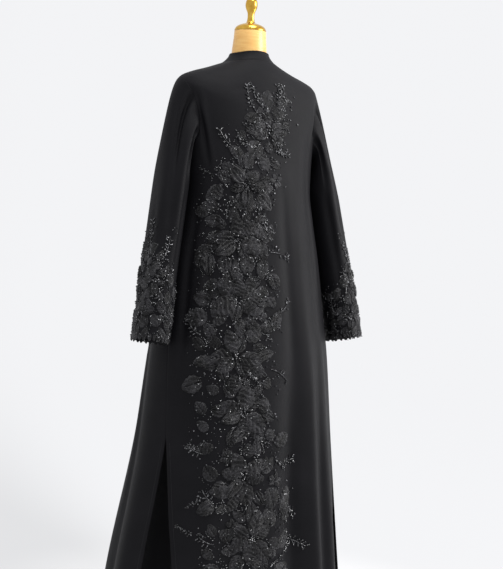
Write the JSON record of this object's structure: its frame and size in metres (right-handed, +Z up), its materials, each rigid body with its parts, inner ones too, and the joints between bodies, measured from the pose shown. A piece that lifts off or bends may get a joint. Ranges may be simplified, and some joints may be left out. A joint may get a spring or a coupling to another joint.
{
  "type": "abaya cloak on a dress form",
  "caption": "Long open-front black cloak with raised flower applique down its back and at its cuffs, standing on a limbless dress form with a round base.",
  "frame": {"origin": "centre of the underside of the dress form's base, on the floor", "axes": "+Z up; the wearer faces -Y, and the wearer's left side is +X"},
  "size_m": [0.6628, 0.4572, 1.594],
  "materials": {
    "black_crepe": "matte woven crepe",
    "form_linen": "plain woven cover",
    "pale_maple": "satin lacquer",
    "polished_brass": "polished",
    "brushed_steel": "brushed"
  },
  "bodies": {
    "root": {"back_panel": "black_crepe", "front_left": "black_crepe", "front_right": "black_crepe", "sleeve_left": "black_crepe", "sleeve_right": "black_crepe", "stand_collar": "black_crepe", "form_torso": "form_linen", "form_neck": "pale_maple", "form_cap": "polished_brass", "form_pole": "brushed_steel", "form_base": "brushed_steel"}
  },
  "joints": []
}
